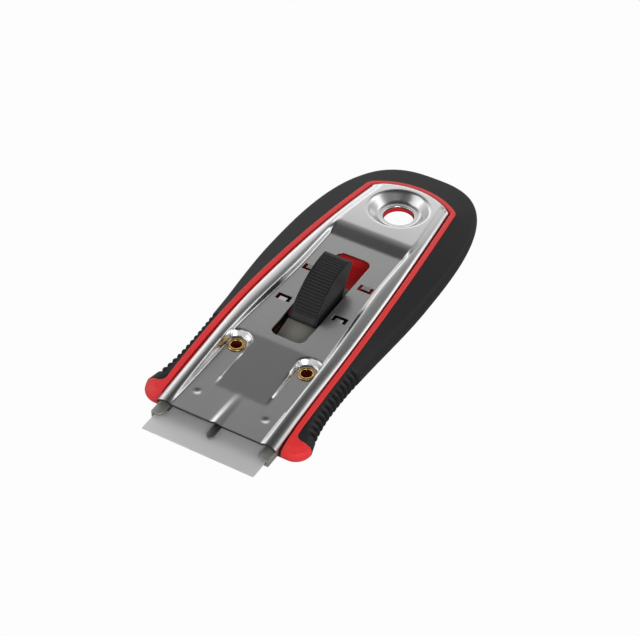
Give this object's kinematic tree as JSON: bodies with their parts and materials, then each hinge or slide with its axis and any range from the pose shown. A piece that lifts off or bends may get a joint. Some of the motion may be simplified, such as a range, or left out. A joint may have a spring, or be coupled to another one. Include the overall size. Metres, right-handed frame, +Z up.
{
  "type": "razor blade scraper",
  "caption": "Retractable razor blade scraper: formed steel face plate in a moulded core, soft ribbed grip, thumb slide, hang hole, and a single-edge blade in a sliding carriage.",
  "frame": {"origin": "bottom centre of the whole tool with the blade out for scraping: middle of its length and width, on the plane of its flat underside", "axes": "+Z up from the underside, -Y towards the blade's cutting edge, +Y towards the hang hole, +X to the right as seen from behind with the button up"},
  "size_m": [0.057, 0.1446, 0.0181],
  "materials": {
    "red_plastic": "satin moulded",
    "grip_rubber": "soft matte",
    "plate_steel": "formed sheet, satin",
    "eyelet_brass": "plated",
    "carrier_steel": "satin",
    "spring_steel": "blued",
    "button_plastic": "satin moulded",
    "blade_steel": "ground",
    "spine_steel": "folded strip"
  },
  "bodies": {
    "handle": {"handle_core": "red_plastic", "grip": "grip_rubber", "face_plate": "plate_steel", "eyelet_left": "eyelet_brass", "eyelet_right": "eyelet_brass"},
    "carriage": {"blade_carrier": "carrier_steel", "blade_clip": "spring_steel", "clip_rivet": "carrier_steel"},
    "latch": {"leaf_spring": "spring_steel", "carrier_rivet_front": "carrier_steel", "carrier_rivet_rear": "carrier_steel", "lock_plate": "carrier_steel", "thumb_button": "button_plastic"},
    "blade": {"blade": "blade_steel", "blade_spine": "spine_steel"}
  },
  "joints": [
    {"name": "carriage_slide", "type": "slide", "parent": "handle", "child": "carriage", "axis": [0, 1, 0], "range_m": [-0.009, 0.014]},
    {"name": "latch_press", "type": "hinge", "parent": "carriage", "child": "latch", "pos_m": [0, -0.01815, 0.00315], "axis": [-1, 0, 0], "range_deg": [0, 4], "stiffness_Nm_per_rad": 0.8, "springref_deg": -2.29},
    {"name": "blade_pull", "type": "slide", "parent": "carriage", "child": "blade", "axis": [0, -1, 0], "range_m": [0, 0.02]}
  ]
}
